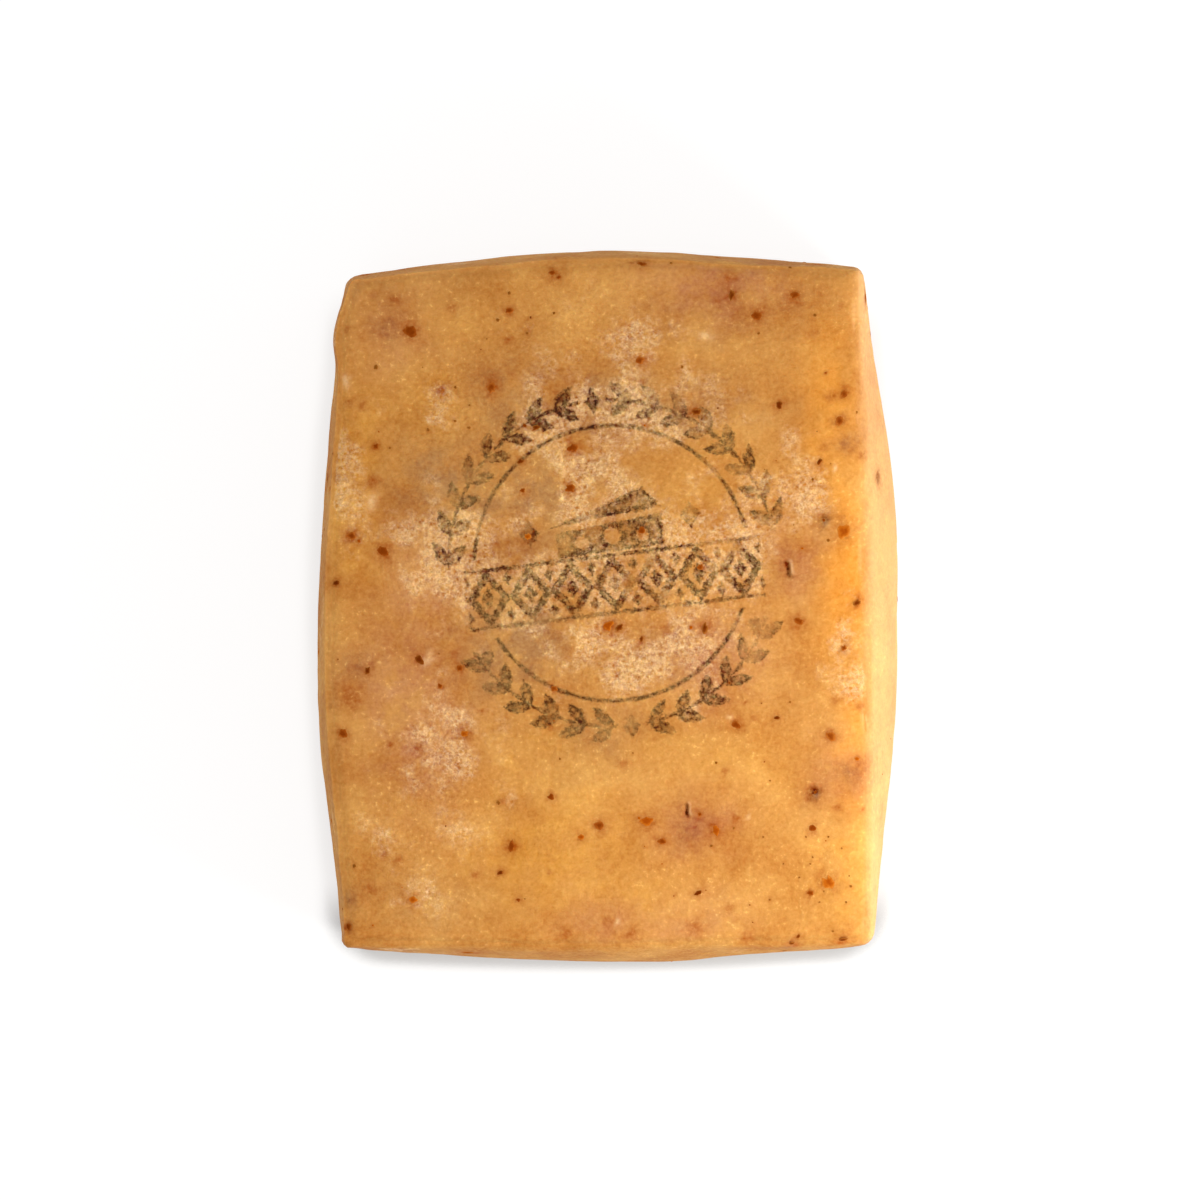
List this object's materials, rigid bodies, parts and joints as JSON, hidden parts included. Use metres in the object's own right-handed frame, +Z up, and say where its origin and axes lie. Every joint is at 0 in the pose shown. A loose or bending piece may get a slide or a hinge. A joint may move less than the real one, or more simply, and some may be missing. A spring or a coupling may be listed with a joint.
{
  "type": "butter cheese block",
  "caption": "Uncut oblong block of semi-soft butter cheese with bulging walls, flecked with chilli flakes.",
  "frame": {"origin": "on the flat base, below the middle of the block's bounding box", "axes": "+Z up from the base to the stamped face, +Y along the block towards the back, +X across it to the right"},
  "size_m": [0.1308, 0.1604, 0.062],
  "materials": {
    "cheese": "golden-orange semi-soft cheese with a pale granular bloom, chilli flakes and an ink ring stamp"
  },
  "bodies": {
    "root": {"cheese_block": "cheese"}
  },
  "joints": []
}
